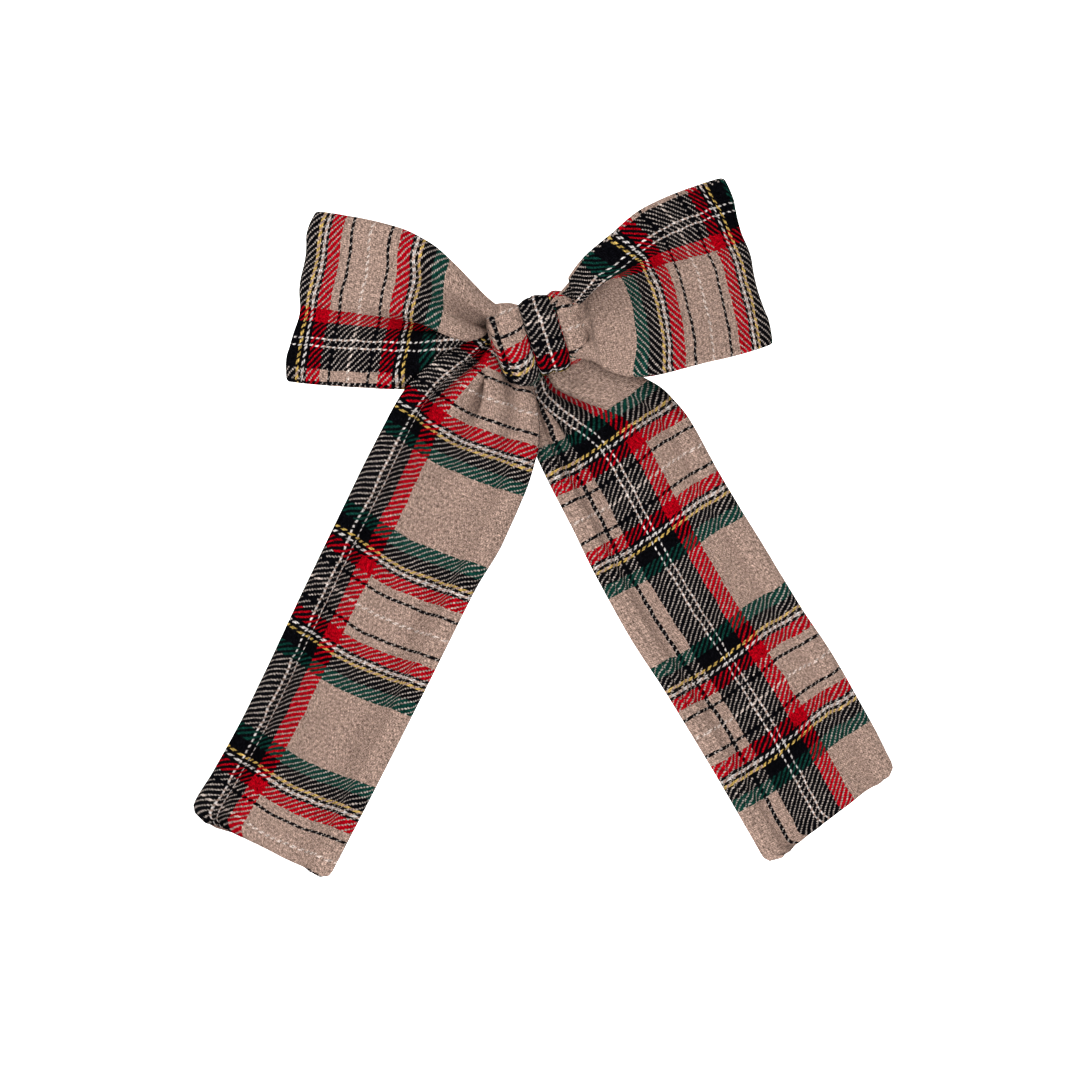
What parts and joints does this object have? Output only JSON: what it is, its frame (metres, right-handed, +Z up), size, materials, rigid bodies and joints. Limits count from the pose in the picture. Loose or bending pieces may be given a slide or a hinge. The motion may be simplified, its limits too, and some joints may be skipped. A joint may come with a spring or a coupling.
{
  "type": "hair bow",
  "caption": "Long-tailed plaid flannel hair bow with two folded loops and two hanging tails, gathered under a wrapped knot on a ribbon-lined spring clip.",
  "frame": {"origin": "middle of the clip's grip, on the ribbon face that the jaw's teeth close on", "axes": "+Z up as worn, -Y towards the viewer, +Y towards the head, +X to the viewer's right"},
  "size_m": [0.1708, 0.0303, 0.172],
  "materials": {
    "plaid_flannel": "brushed yarn-dyed twill flannel in tan, black, red, green, white and yellow",
    "thread": "matt spun polyester sewing thread",
    "felt": "dense craft felt with a short nap",
    "grosgrain": "ribbed grosgrain ribbon with a soft sheen",
    "plated_steel": "nickel-plated pressed steel, lightly scuffed",
    "spring_steel": "drawn spring wire with fine lines along it"
  },
  "bodies": {
    "root": {"left_loop": "plaid_flannel", "right_loop": "plaid_flannel", "left_tail_gather": "plaid_flannel", "right_tail_gather": "plaid_flannel", "knot_wrap": "plaid_flannel", "knot_seam_stitches": "thread", "gathering_thread": "thread", "backing_felt": "felt", "backing_stitches": "thread", "clip_ribbon": "grosgrain", "clip_base": "plated_steel", "clip_pin": "plated_steel", "clip_spring": "spring_steel"},
    "left_tail": {"left_tail": "plaid_flannel"},
    "right_tail": {"right_tail": "plaid_flannel"},
    "clip_jaw": {"clip_jaw": "plated_steel"}
  },
  "joints": [
    {"name": "left_tail_swing", "type": "hinge", "parent": "root", "child": "left_tail", "pos_m": [-0.02137, -0.00955, -0.03081], "axis": [0.9063, 0, -0.4226], "range_deg": [-80, 30]},
    {"name": "right_tail_swing", "type": "hinge", "parent": "root", "child": "right_tail", "pos_m": [0.02, -0.00685, -0.02944], "axis": [0.866, 0, 0.5], "range_deg": [-80, 30]},
    {"name": "jaw_pivot", "type": "hinge", "parent": "root", "child": "clip_jaw", "pos_m": [0.015, 0.0034, 0], "axis": [0, 0, -1], "range_deg": [0, 36], "stiffness_Nm_per_rad": 0.08, "springref_deg": -68.75, "deforming": ["clip_spring"]}
  ]
}
